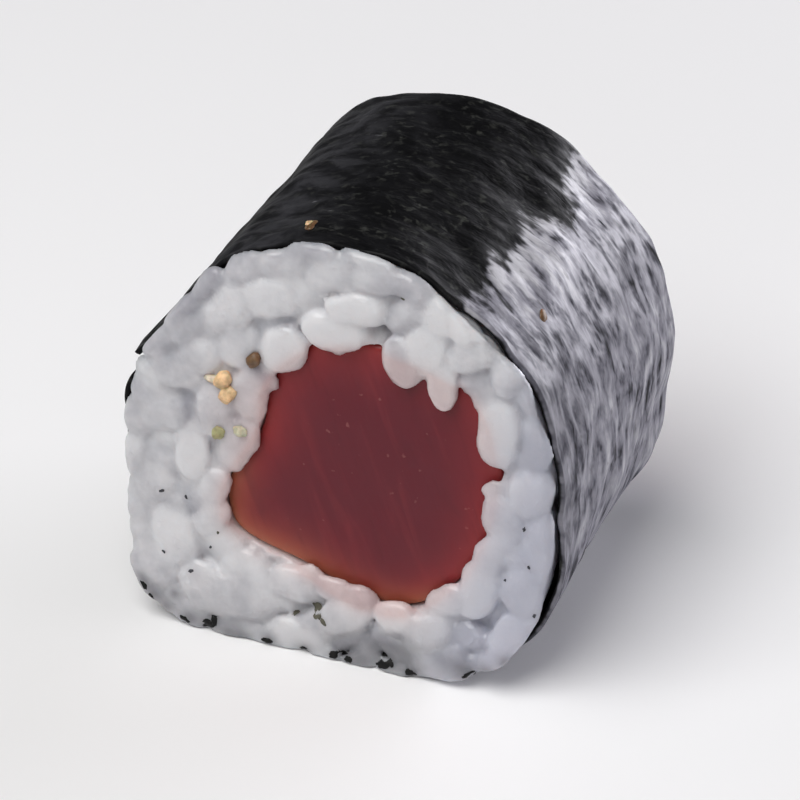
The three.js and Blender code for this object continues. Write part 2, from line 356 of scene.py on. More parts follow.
def tuna_material():
    """Deep red with faint fibres and specks, brighter at the rim and orange where it is fat."""
    deep, red, orange = rgb(0.122, 0.012, 0.021), rgb(0.26, 0.021, 0.026), rgb(0.42, 0.15, 0.075)
    pale_fibre, dark_fibre = rgb(0.36, 0.045, 0.05), rgb(0.07, 0.008, 0.014)
    speck = rgb(0.50, 0.20, 0.18)

    tree = new_material("tuna")
    where = tree.place()
    cloud = tree.noise(where, 160.0, roughness=0.5)
    fibres = tree.noise(tree.value("fibre", "Vector"), (0.95, 0.13, 0.3), detail=4.0, distortion=0.5)
    specks = tree.noise(where, 1500.0, detail=2.0, roughness=0.5)
    colour = tree.mix(tree.ramp(tree.total((tree.value("rim"), 1), (cloud, 0.35)), 0.2, 1.1), deep, red)
    colour = tree.mix(tree.value("fat"), colour, orange)
    colour = tree.mix(tree.ramp(fibres, 0.52, 0.80, 0.0, 0.18), colour, pale_fibre)
    colour = tree.mix(tree.ramp(fibres, 0.28, 0.46, 0.2, 0.0), colour, dark_fibre)
    return tree.surface(
        Base_Color=tree.mix(tree.ramp(specks, 0.70, 0.78, 0.0, 0.25), colour, speck),
        Roughness=tree.ramp(cloud, 0.3, 0.7, 0.36, 0.48),
        Normal=tree.bump(fibres, 0.00006, 0.5),
        Subsurface_Weight=0.35,
        Subsurface_Radius=(1.0, 0.25, 0.2),
        Subsurface_Scale=0.0012,
        IOR=1.34,
    )


def bits_material(name, roughness, subsurface, shine):
    """The colour that each crumb or fleck brings, a little uneven."""
    tree = new_material(name)
    shade = tree.ramp(tree.noise(tree.place(), 2500.0, roughness=0.6), 0.3, 0.7, 0.75, 1.15)
    return tree.surface(
        Base_Color=tree.mix(1.0, tree.value("colour", "Vector"), shade, "MULTIPLY"),
        Roughness=roughness,
        Specular_IOR_Level=shine,
        Subsurface_Weight=subsurface,
        Subsurface_Scale=0.0004,
    )


# ---------------- nori

# The sheet's points: how many round the roll, and across its outer and its inner side.
NORI_ROUND, NORI_OUTER, NORI_INNER = 540, 104, 14
# The middle of its rims reaches out a little further, and it lies just over the floor.
RIM_REACH, FLOOR_GAP = 1.004, 0.01
# The waves of its two rims: how many round the roll, and how far out. Finer tears have a size and a reach.
RIM_WAVES = ((5, 0.07), (13, 0.05))
TEAR_SIZE, TEAR_REACH = 1.6, 0.12
# The angles where the painted reflection begins and ends, and how its upper end wanders along the roll.
REFLECTION_LOW = math.radians(-85), math.radians(-50)
REFLECTION_HIGH = math.radians(46), math.radians(67)
REFLECTION_DRIFT, REFLECTION_DRIFT_SIZE = 0.08, 3.5
# The angle and width of its painted highlight on the shoulder, of painted shade under it, and of a faint
# painted sheen above.
HIGHLIGHT_BAND, SHADED_STRETCH, SHEEN = (0.92, 0.2), (0.68, 0.16), (1.98, 0.24)


def add_nori_values(piece, angle, y, depth):
    """The sheet's own flat coordinates, and where its painted reflection, highlight, shade and sheen lie."""
    around = (angle + math.pi) % TURN - math.pi
    outside = depth == 0
    drift = REFLECTION_DRIFT * noise(y / REFLECTION_DRIFT_SIZE, seed=51)
    painted_reflection = smoothstep(around, *REFLECTION_LOW) * (1 - smoothstep(around + drift, *REFLECTION_HIGH))
    painted_reflection = painted_reflection * np.where(outside, 1, np.where(depth == 0.5, 0.75, 0))
    # Painted highlight on the shoulder and low on the side, and painted shade towards the shown end and under
    # the shoulder.
    painted_highlight_and_shade = hump(around, *HIGHLIGHT_BAND) + 0.3 * (1 - smoothstep(around, 0.1, 0.6))
    painted_highlight_and_shade -= 0.5 * (1 - smoothstep(y, -9.5, -4.0))
    painted_highlight_and_shade -= 0.5 * hump(around, *SHADED_STRETCH) * smoothstep(y, -2.0, 4.0)
    strip = np.stack([angle * MEAN_RADIUS, y, 0 * y], -1)
    add_values(piece, "strip", strip.reshape(-1, 3))
    add_values(piece, "painted_reflection", painted_reflection.ravel())
    add_values(piece, "painted_highlight_and_shade", painted_highlight_and_shade.ravel())
    add_values(piece, "sheen", (hump(around, *SHEEN) * outside).ravel())


def build_nori():
    """A strip with a ragged rim, whose rings of points go round its section from end to end."""
    outer, inner = np.linspace(1, -1, NORI_OUTER), np.linspace(-1, 1, NORI_INNER)
    across = np.concatenate([outer, [-RIM_REACH], inner, [RIM_REACH]])
    depths = np.concatenate([0 * outer, [0.5], 0 * inner + 1, [0.5]])
    angles = np.linspace(LAP_START, FLAP_EDGE + TURN, NORI_ROUND)
    angle, share = np.meshgrid(angles, across, indexing="ij")
    depth = np.broadcast_to(depths, angle.shape)

    edge = NORI_LENGTH / 2 + sum(reach * np.sin(turns * angle) for turns, reach in RIM_WAVES)
    edge += TEAR_REACH * noise(angle * MEAN_RADIUS / TEAR_SIZE, np.sign(share) * 7, seed=21)
    y = share * edge
    inset = layer_inset(angle) + NORI_THICKNESS * depth
    radius = outline_radius(angle) + lump_height(angle, y) + crinkle(angle, y) - inset
    x, z = radius * np.cos(angle), CENTRE_Z + radius * np.sin(angle)
    rings = np.stack([x, y, np.maximum(z, inset + FLOOR_GAP)], -1)

    points = np.vstack([rings.reshape(-1, 3), rings[0].mean(0), rings[-1].mean(0)])
    piece = make_object("nori_sheet", points, tube_faces(NORI_ROUND, len(across)))
    add_nori_values(piece, angle, y, depth)
    return piece


# ---------------- tuna

# The points round its outline, and those of the coarser one from which the rice keeps its distance.
TUNA_ROUND, COARSE_TUNA_ROUND = 240, 160
TUNA_MIDDLE = np.array([1.2, -0.9])
# The rings of a cut face, as shares of the way from its middle to its outline, which is rounded off.
ROUND_FROM, ROUNDING = 0.955, 0.28
FACE_SHARES = np.concatenate([np.linspace(0, 0.93, 44)[1:], [ROUND_FROM, 0.975, 0.99, 1.0]])
RIPPLE, RIPPLE_SIZE = 0.05, 2.6
# The rings between the faces: how many, how far they reach, and how much slimmer the middle one is.
SIDE_RINGS, SIDE_REACH, WAIST = 9, 9.8, 0.97
# How far the bright rim and the fat edge reach in. The fat is thin, but not low on the left, where it comes
# in over a stretch in that direction, up to its right end. And the direction of the fibres.
RIM_DEPTH, FAT_DEPTH, MORE_FAT_DEPTH, THIN_FAT = 2.2, 0.4, 0.4, 0.12
LOW_LEFT, FAT_STRETCH, FAT_RIGHT_END = (-0.45, -0.89), (2.5, 7.0), 7
FIBRE_LEAN = math.radians(110)


def between(p, q, start, end, t):
    return (end - t) / (end - start) * p + (t - start) / (end - start) * q


def tuna_outline(samples):
    """A smooth closed curve through the tuna's corners, as points at equal distances."""
    corners = np.array(TUNA_CORNERS)
    points = []
    for i in range(len(corners)):
        p = [corners[(i + k - 1) % len(corners)] for k in range(4)]
        knots = np.cumsum([0] + [np.linalg.norm(p[k + 1] - p[k]) ** 0.5 for k in range(3)])
        for t in np.linspace(knots[1], knots[2], 40, endpoint=False):
            a = [between(p[k], p[k + 1], knots[k], knots[k + 1], t) for k in range(3)]
            b = [between(a[k], a[k + 1], knots[k], knots[k + 2], t) for k in range(2)]
            points.append(between(b[0], b[1], knots[1], knots[2], t))
    closed = np.array([*points, points[0]])
    length = np.concatenate([[0], np.cumsum(np.linalg.norm(np.diff(closed, axis=0), axis=1))])
    at = np.linspace(0, length[-1], samples, endpoint=False)
    return np.stack([np.interp(at, length, closed[:, k]) for k in range(2)], -1)


def outline_distance(x, z, outline):
    """Signed distance in the section to a closed outline, negative inside."""
    best = np.full(x.shape, 1e9)
    inside = np.zeros(x.shape, bool)
    for (ax, az), (bx, bz) in zip(outline, np.roll(outline, -1, 0)):
        ex, ez = bx - ax, bz - az
        t = np.clip(((x - ax) * ex + (z - az) * ez) / (ex * ex + ez * ez), 0, 1)
        best = np.minimum(best, (x - ax - t * ex) ** 2 + (z - az - t * ez) ** 2)
        crosses = (az > z) != (bz > z)
        inside ^= crosses & (x < ax + ex * (z - az) / (ez if abs(ez) > 1e-12 else 1e-12))
    return np.where(inside, -1, 1) * np.sqrt(best)


def section_ring(place, y):
    return np.stack([place[:, 0], y + 0 * place[:, 0], place[:, 1] + CENTRE_Z], -1)


def tuna_face(outline, side):
    """The rings of one cut face: slightly domed and rippled, and rounded at its edge."""
    rings = []
    for share in FACE_SHARES:
        place = TUNA_MIDDLE + (outline - TUNA_MIDDLE) * share
        past = max(share - ROUND_FROM, 0) / (1 - ROUND_FROM)
        rounding = ROUNDING * (1 - np.sqrt(np.maximum(1 - past**2, 0)))
        dome = TUNA_DOME * (1 - share**2)
        ripple = RIPPLE * noise(*(place / RIPPLE_SIZE).T, float(side), seed=31)
        rings.append(section_ring(place, side * (TUNA_HALF + dome - rounding + ripple)))
    return rings


def build_tuna():
    """A stick from face to face, with its brighter rim, its fat lower left edge and leaning fibres."""
    outline = tuna_outline(TUNA_ROUND)
    sides = []
    for y in np.linspace(-SIDE_REACH, SIDE_REACH, SIDE_RINGS):
        share = WAIST + (1 - WAIST) * (y / TUNA_HALF) ** 2
        sides.append(section_ring(TUNA_MIDDLE + (outline - TUNA_MIDDLE) * share, y))
    loops = [*tuna_face(outline, -1), *sides, *tuna_face(outline, 1)[::-1]]
    tip_y = TUNA_HALF + TUNA_DOME
    tips = [(TUNA_MIDDLE[0], y, TUNA_MIDDLE[1] + CENTRE_Z) for y in (-tip_y, tip_y)]
    points = np.vstack([*loops, tips])
    piece = make_object("tuna_stick", points, tube_faces(len(loops), len(outline)))

    x, y, z = points[:, 0], points[:, 1], points[:, 2] - CENTRE_Z
    inward = np.maximum(-outline_distance(x, z, outline), 0)
    fatty = smoothstep(LOW_LEFT[0] * x + LOW_LEFT[1] * z, *FAT_STRETCH) * (x < FAT_RIGHT_END)
    fat = np.exp(-inward / (FAT_DEPTH + MORE_FAT_DEPTH * fatty)) * lerp(THIN_FAT, 1, fatty)
    across = x * math.sin(FIBRE_LEAN) - z * math.cos(FIBRE_LEAN)
    along = x * math.cos(FIBRE_LEAN) + z * math.sin(FIBRE_LEAN)
    add_values(piece, "rim", np.exp(-inward / RIM_DEPTH))
    add_values(piece, "fat", np.clip(fat, 0, 1))
    add_values(piece, "fibre", np.stack([across, along, y], -1))
    return piece


# ---------------- rice

# The grains of the shown face: x, z, turn of the long axis in degrees, length, width, how far the top
# lies below the face's plane, and tone from 0, clear grey, to 1, white. The low tones of some deep-set
# grains are partly painted shade.
FRONT_GRAINS = (
    (1.3, 11.2, 5, 4.2, 2.3, 0, 0.95), (-0.3, 9.3, 8, 4.3, 2.6, 0, 0.95),
    (-4.5, 10.8, 12, 4.8, 2.8, 0.1, 0.75), (-7.3, 9.3, 58, 4.6, 2.9, 0.15, 0.6),
    (-3.8, 7.2, 62, 3.9, 2.9, 0, 0.75), (-6.7, 6.8, 70, 4.2, 2.8, 0.2, 0.5),
    (4.1, 8.1, 97, 3.6, 2.5, 0.05, 0.45), (5.8, 9.1, 85, 4, 2.4, 0, 0.9), (4.5, 11.3, 35, 4, 2.4, 0.25, 0.4),
    (6.9, 12.1, 80, 3.2, 1.9, 0.05, 0.95), (8, 11.7, 100, 3.2, 1.7, 0.1, 0.9),
    (9.3, 11.6, 95, 2.6, 1.8, 0.1, 0.95), (6.8, 7.1, 85, 3.2, 1.9, 0, 0.6),
    (8.8, 9.4, 20, 3.6, 2.2, 0.2, 0.6), (9.1, 7.6, 20, 3, 2.2, 0.5, 0.3),
    (11.1, 8.9, 80, 3.6, 2.3, 0.3, 0.35), (10.5, 4.3, 92, 4.8, 2.7, 0, 0.8),
    (12.9, 4.1, 88, 4.8, 2.2, 0.55, 0.2), (12.7, 0.5, 75, 3.8, 2.9, 0.1, 0.65),
    (11, -2.3, 97, 5.2, 2.8, 0.1, 0.55), (13.3, -2.8, 88, 4.8, 2.1, 0.3, 0.4),
    (12.4, -7.1, 85, 5.2, 3.4, 0.15, 0.4), (9.4, -7.3, 80, 4.8, 2.7, 0, 0.85),
    (7.3, -8.9, 40, 3.6, 2, 0.15, 0.65), (11.5, -10.6, 60, 4, 2.3, 0.15, 0.55),
    (6.3, -11.4, 20, 3.8, 2.5, 0.2, 0.5), (3.8, -11.1, 20, 3, 2.2, 0.1, 0.6),
    (0.6, -11.6, 15, 3.4, 2.3, 0.05, 0.65), (-0.3, -9.9, 10, 2.4, 1.8, 0.15, 0.45),
    (-3.2, -10.4, 170, 4, 2.6, 0.1, 0.55), (-6.5, -9.8, 150, 4.8, 2.9, 0.1, 0.55),
    (-6.4, -12.1, 172, 5.2, 2.7, 0.1, 0.5), (-9.2, -11.9, 140, 4.6, 3, 0.15, 0.55),
    (-2.7, -13.8, 5, 4.8, 2.2, 0.2, 0.8), (-5.9, -14.3, 175, 4, 1.7, 0.45, 0.45),
    (6.5, -13.8, 10, 3.8, 2.2, 0.3, 0.4), (2.1, -13.9, 62, 2.8, 1.6, 0.4, 0.4),
    (8.8, -11.6, 30, 3.6, 2.4, 0.7, 0.15), (9.7, -12.9, 25, 3.2, 1.8, 0.5, 0.3),
    (-11.5, -8.5, 88, 5, 3.1, 0.05, 0.8), (-9.1, -6.5, 60, 3.8, 2.5, 0.1, 0.65),
    (-12.9, -4.1, 86, 5.4, 3, 0.15, 0.55), (-10.2, -2.2, 82, 4.6, 2.3, 0, 0.75),
    (-12.2, 0.6, 20, 3.8, 2.3, 0.2, 0.5), (-13.3, 2, 75, 2.6, 2, 0.4, 0.35),
    (-10.9, 4.1, 15, 4, 2.7, 0.15, 0.5), (-8.5, 1.8, 84, 4.8, 2.6, 0.15, 0.55),
    (-6.1, 3.3, 78, 4.6, 2.7, 0.1, 0.5), (-7.1, -0.8, 72, 4.6, 2.5, 0.1, 0.5),
    (-9.2, 5.7, 35, 3.6, 2.5, 0.15, 0.55), (-8.7, -4.2, 60, 3.2, 2, 0.15, 0.6),
    (-12.6, -11.2, 115, 3.8, 2.6, 0.3, 0.45), (-9.8, -13.9, 165, 3.4, 1.9, 0.4, 0.45),
    (-14, -0.2, 85, 3, 2, 0.35, 0.4), (-14.2, -3.2, 88, 3.6, 1.8, 0.3, 0.5),
    (-14.1, -6.3, 92, 4, 2, 0.3, 0.45), (-13.6, -9.5, 98, 3.8, 2.2, 0.3, 0.45),
    (-13, -12.8, 125, 3, 2.2, 0.4, 0.35), (-11.5, -14.1, 155, 3, 1.9, 0.4, 0.4),
    (-6.2, 12.3, 30, 3.8, 2, 0.4, 0.3), (-3.5, 13.3, 17, 4.2, 2, 0.35, 0.4),
    (-0.5, 13.5, 35, 3.6, 2, 0.3, 0.5), (2.2, 13.5, 3, 4.4, 2.1, 0.25, 0.45),
    (5, 13.3, 162, 3.6, 2, 0.35, 0.35), (-1.9, 14.5, 8, 3.6, 1.4, 0.5, 0.35),
    (1.7, 14.7, 178, 4, 1.3, 0.5, 0.35), (-8.7, 10.7, 50, 3, 1.6, 0.5, 0.25),
    (10, -4.7, 70, 3, 2.1, 0.2, 0.55), (10.7, 10.5, 130, 3, 1.8, 0.4, 0.35),
    (12.5, 6.9, 112, 3.2, 1.9, 0.5, 0.3), (13.7, -5.5, 90, 4.6, 1.7, 0.35, 0.35),
    (13, -9.8, 70, 3.2, 1.8, 0.35, 0.4), (4.3, -13.1, 150, 2.6, 1.7, 0.55, 0.25),
    (-12.2, 5.8, 48, 3.6, 1.7, 0.35, 0.3), (-10.6, 8.4, 55, 3.8, 2, 0.35, 0.25),
    (-8, -14.4, 175, 2.8, 1.7, 0.15, 0.45), (-4.3, -14.6, 5, 2.6, 1.6, 0.2, 0.5),
    (-0.7, -14.5, 172, 2.8, 1.7, 0.1, 0.55), (1.6, -14.6, 10, 2.4, 1.6, 0.15, 0.45),
    (4.1, -14.5, 0, 2.6, 1.6, 0.15, 0.5), (8.5, -13.9, 25, 2.6, 1.7, 0.2, 0.45),
    (-10.4, -14.7, 165, 2.4, 1.4, 0.3, 0.4), (-1.7, -12.9, 20, 2.4, 1.7, 0.5, 0.3),
    (10.9, -12.3, 45, 2.6, 1.8, 0.25, 0.4), (0.9, -13.2, 15, 3, 1.8, 0.55, 0.2),
    (3, -12.5, 160, 2.4, 1.6, 0.6, 0.2), (7.6, -12.7, 20, 3, 1.8, 0.5, 0.25),
    (-10.9, -12.9, 150, 2.4, 1.8, 0.45, 0.4), (-8.9, 11, 45, 3, 1.9, 0.4, 0.2),
    (-11.8, 4.5, 20, 2.6, 1.4, 0.3, 0.35), (-13.9, -11.5, 105, 2.6, 1.6, 0.5, 0.35),
    (-10.2, 7, 50, 2.6, 1.9, 0.35, 0.35), (-9.6, 7.9, 40, 2.2, 1.6, 0.4, 0.3),
)
# Where the grains of the shown face leave deeper gaps between them, and how wide and deep these are.
CLEFTS = ((8.8, -11.3), (2.2, -12.4), (4.2, -12.6), (2.9, 10.2), (9.2, 7.4), (13.0, 3.6))
CLEFT_WIDTH, CLEFT_DEPTH = math.sqrt(0.8), 1.3
# Spots of painted shade along the shown face's lower rim, round its dark hollows: x, z and size.
RIM_SHADE_SPOTS = (
    (-13.5, -11.9, 0.6), (-12.8, -12.8, 0.6), (-11.9, -13.6, 0.6), (-11.3, -12.4, 0.4), (-10.2, -14.0, 0.6),
    (-8.6, -13.9, 0.9), (-7.3, -14.4, 0.7), (-6.3, -14.6, 0.6), (-4.6, -14.4, 0.6), (-2.1, -14.5, 0.6),
    (0.5, -14.2, 0.9), (1.9, -14.2, 0.7), (3.5, -13.9, 1.0), (5.3, -14.2, 0.9), (8.9, -13.3, 0.9),
    (10.4, -12.8, 0.6), (11.6, -11.9, 0.5),
)
# The rice that the tuna stains pink, and the painted shade low on the right: x, z, width and height.
STAIN, SHADE = (-7.0, 2.2, 2.6, 3.6), (3.8, -12.9, 3.6, 1.1)
# The finest step of the grid, how far it reaches across the roll and up from the floor, and its layers along
# the roll, which are fine only near the faces.
GRAIN_STEP = 0.168
GRID_ACROSS, GRID_UP = (-16.4, 16.4), (-0.5, 31.0)
COARSE_LEVELS, FINE_FROM, FINE_TO = (1.5, 4.4, 6.8, 8.4, 9.2), 9.7, RICE_FACE + RICE_BULGE + 0.35
# How far grains stand out of their face and melt into each other, and how much of a grain is straight.
GRAIN_PROUD, GRAIN_BLEND, GRAIN_STRAIGHT = 0.3, 0.22, 0.45
# The small bumps of the grains, each with height, size and seed, and how far and over what size they bend.
BUMPS = ((0.15, 1.2, 41), (0.06, 0.5, 42))
GRAIN_BEND, GRAIN_BEND_SIZE = 0.28, 2.1
# Random grains: how many are tried, how far out, how far they keep from the outline and the tuna, the mean
# and deviation of their length and width, and their tones. Then the lean and flatness of all grains.
GRAIN_SEED, GRAIN_TRIES, TRIED_REACH, FROM_OUTLINE, FROM_TUNA = 5, 2600, 15, 1.7, 0.9
GRAIN_LENGTH, GRAIN_WIDTH, RANDOM_TONES = (4.7, 0.5), (2.7, 0.25), (0.2, 0.95)
FRONT_LEAN, RANDOM_LEAN, GRAIN_FLATNESS = 0.2, 0.55, (0.68, 0.82)
# The core under the grains: its gaps to the nori and the tuna, how far back it lies behind, and how rough
# it is.
CORE_INSET, CORE_FROM_TUNA, FAR_CORE_BACK, CORE_ROUGHNESS = 0.5, 0.15, 0.3, 1.5
# The gaps that the rice keeps, where it goes over the nori's rim, and how softly it is cut off there and
# elsewhere.
NORI_CLEARANCE, TUNA_CLEARANCE, FLOOR_CLEARANCE = 0.3, 0.05, 0.03
OVER_RIM = NORI_LENGTH / 2 + 0.12, NORI_LENGTH / 2 + 0.3
NORI_CUT, MORE_RIM_CUT, FACE_CUT, TUNA_CUT, FLOOR_CUT = 0.2, 0.4, 0.25, 0.12, 0.1
# How far a grain's tone reaches, and the width and depth of the painted shade between and under grains.
TONE_REACH, CREVICE_SHADE_WIDTH, RECESS_SHADE_DEPTH = 0.12, 0.22, 0.5
# The lower left corner of the shown face, its angle and width round the roll, and how far grains hang over
# the nori there and elsewhere. On the right they draw back: rise and fall of the angle, and how far.
CORNER_PLACE = -11.0, -11.5, math.sqrt(12.0), math.sqrt(12.0)
CORNER_ANGLE, CORNER_SPAN, CORNER_REACH, LIP_REACH = -2.42, 0.33, 0.9, 0.15
DRAWN_BACK = (((-1.02, -0.75), (0.0, 0.25), 1.15), ((0.0, 0.25), (1.0, 1.25), 0.8))


def rice_inset(angle):
    """How far the rice keeps inside the outline, for the one or two layers of nori round it."""
    turned = angle % TURN
    enter = smoothstep(turned, LAP_START - 0.07, LAP_START - 0.02)
    leave = 1 - smoothstep(turned, FLAP_EDGE, FLAP_EDGE + LAP_RISE)
    return NORI_THICKNESS + NORI_CLEARANCE + (NORI_THICKNESS + LAP_GAP) * enter * leave


def front_face(x, z):
    """How far the shown face stands out: it bulges along the bottom, most at the lower left corner."""
    corner = spot(x, z, *CORNER_PLACE)
    return RICE_FACE + RICE_BULGE * np.clip(0.85 * smoothstep(-z, 9.0, 13.0) + 0.5 * corner, 0, 1)


def cleft_share(x, z):
    """How far a place is in one of the gaps, about 1 in its middle."""
    return sum(spot(x, z, *middle, CLEFT_WIDTH, CLEFT_WIDTH) for middle in CLEFTS)


def lip_reach(angle):
    """How far past the nori's outline the grains of a face may hang over its rim, all the way round."""
    fall = FLAP_EDGE + 0.02, FLAP_EDGE + 0.12
    lifted = plateau(angle % TURN, (FLAP_EDGE - FLAP_LIFT_SPAN, FLAP_EDGE), fall)
    corner = hump(angle, CORNER_ANGLE, CORNER_SPAN)
    back = sum(reach * plateau(angle, *span) for *span, reach in DRAWN_BACK)
    ragged = np.clip(0.6 + 0.6 * noise(angle * MEAN_RADIUS / 3.0, seed=45), 0, 1)
    return LIP_REACH + CORNER_REACH * corner + FLAP_LIFT * lifted - back * ragged


def random_grains(random, tuna, side, spacing, tops):
    """Grains thrown on a face and kept where the ring has room for them."""
    kept = []
    for _ in range(GRAIN_TRIES):
        x, z = random.uniform(-TRIED_REACH, TRIED_REACH, 2)
        turn, lean = random.uniform(0, math.pi), random.uniform(-RANDOM_LEAN, RANDOM_LEAN)
        length, width = random.normal(*GRAIN_LENGTH), random.normal(*GRAIN_WIDTH)
        top, tone = random.uniform(*tops), random.uniform(*RANDOM_TONES)
        outside = math.hypot(x, z) > outline_radius(math.atan2(z, x)) - FROM_OUTLINE
        crowded = any(math.hypot(x - other[1], z - other[2]) < spacing for other in kept)
        if outside or crowded or outline_distance(*np.array([[x], [z]]), tuna)[0] < FROM_TUNA:
            continue
        kept.append((side, x, z, turn, lean, length, width, top, tone))
    return kept


def choose_grains(random, tuna):
    """All grains of both faces: side, x, z, turn, lean, length, width, depth of the top, and tone."""
    grains = [
        (-1, x, z, math.radians(turn), random.uniform(-FRONT_LEAN, FRONT_LEAN), length, width, top, tone)
        for x, z, turn, length, width, top, tone in FRONT_GRAINS
    ]
    fill = random_grains(random, tuna, -1, spacing=1.8, tops=(0.4, 0.8))
    grains += [grain for grain in fill if cleft_share(grain[1], grain[2]) < 0.1]
    grains += random_grains(random, tuna, 1, spacing=2.15, tops=(0.0, 0.4))
    grains += random_grains(random, tuna, 1, spacing=1.9, tops=(0.65, 1.05))
    return grains


def grain_axes(turn, lean):
    along = np.array([math.cos(turn) * math.cos(lean), math.sin(lean), math.sin(turn) * math.cos(lean)])
    across = np.array([-math.sin(turn), 0.0, math.cos(turn)])
    return along, across, np.cross(along, across)


def grain_distance(offset, axes, half):
    """About how far points lie outside a grain, an ellipsoid drawn out along its first axis."""
    u, v, w = (sum(q * e for q, e in zip(offset, axis)) for axis in axes)
    straight = GRAIN_STRAIGHT * (half[0] - half[1])
    u = np.sign(u) * np.maximum(np.abs(u) - straight, 0)
    a, b, c = half[0] - straight, half[1], half[2]
    k0 = np.sqrt((u / a) ** 2 + (v / b) ** 2 + (w / c) ** 2)
    k1 = np.sqrt((u / a**2) ** 2 + (v / b**2) ** 2 + (w / c**2) ** 2)
    return k0 * (k0 - 1) / np.maximum(k1, 1e-6)


def join_corners(field):
    """Fill the places where solid would touch solid along a mere edge, so that each edge has two faces."""
    found = True
    while found:
        inside, found = field < 0, False
        for a, b in ((0, 1), (0, 2), (1, 2)):
            corners = []
            for side_a, side_b in ((LOW, LOW), (HIGH, HIGH), (HIGH, LOW), (LOW, HIGH)):
                corner = [slice(None)] * 3
                corner[a], corner[b] = side_a, side_b
                corners.append(tuple(corner))
            first, opposite, second, other = (inside[corner] for corner in corners)
            crossed = (first == opposite) & (second == other) & (first != second)
            for corner in corners:
                part = field[corner]
                part[crossed & (part >= 0)] = -0.01
            found = found or crossed.any()


def surface_net(axes, field):
    """A closed quad mesh where the field crosses zero, with one point in each cell that is crossed."""
    inside = field < 0
    cells = np.array(field.shape) - 1
    size = int(np.prod(cells))
    total, count, quads = np.zeros((3, size)), np.zeros(size), []
    for axis in range(3):
        a, b = (axis + 1) % 3, (axis + 2) % 3
        low, high = [slice(1, -1)] * 3, [slice(1, -1)] * 3
        low[axis], high[axis] = LOW, HIGH
        start = np.argwhere(inside[tuple(low)] != inside[tuple(high)])
        start[:, [a, b]] += 1
        end = start.copy()
        end[:, axis] += 1
        first, second = field[tuple(start.T)], field[tuple(end.T)]
        t = first / (first - second)
        point = np.stack([axes[k][start[:, k]] for k in range(3)])
        point[axis] = lerp(axes[axis][start[:, axis]], axes[axis][end[:, axis]], t)
        around = []
        for back in ((1, 1), (0, 1), (0, 0), (1, 0)):
            cell = start.copy()
            cell[:, [a, b]] -= back
            index = np.ravel_multi_index(tuple(cell.T), tuple(cells))
            around.append(index)
            count += np.bincount(index, minlength=size)
            for k in range(3):
                total[k] += np.bincount(index, weights=point[k], minlength=size)
        quad = np.stack(around, -1)
        quads.append(np.where((first < 0)[:, None], quad, quad[:, ::-1]))
    used = np.flatnonzero(count)
    number = np.full(size, -1)
    number[used] = np.arange(len(used))
    points = (total[:, used] / count[used]).T
    return points, number[np.concatenate(quads)]


def largest_part(points, quads):
    """The largest connected surface, without loose islands or closed pockets."""
    label = np.arange(len(points))
    while True:
        lowest = label[quads].min(1)
        joined = label.copy()
        np.minimum.at(joined, quads.ravel(), np.repeat(lowest, 4))
        joined = joined[joined]
        if (joined == label).all():
            break
        label = joined
    kept = label == np.bincount(label).argmax()
    number = np.cumsum(kept) - 1
    return points[kept], number[quads[kept[quads[:, 0]]]]


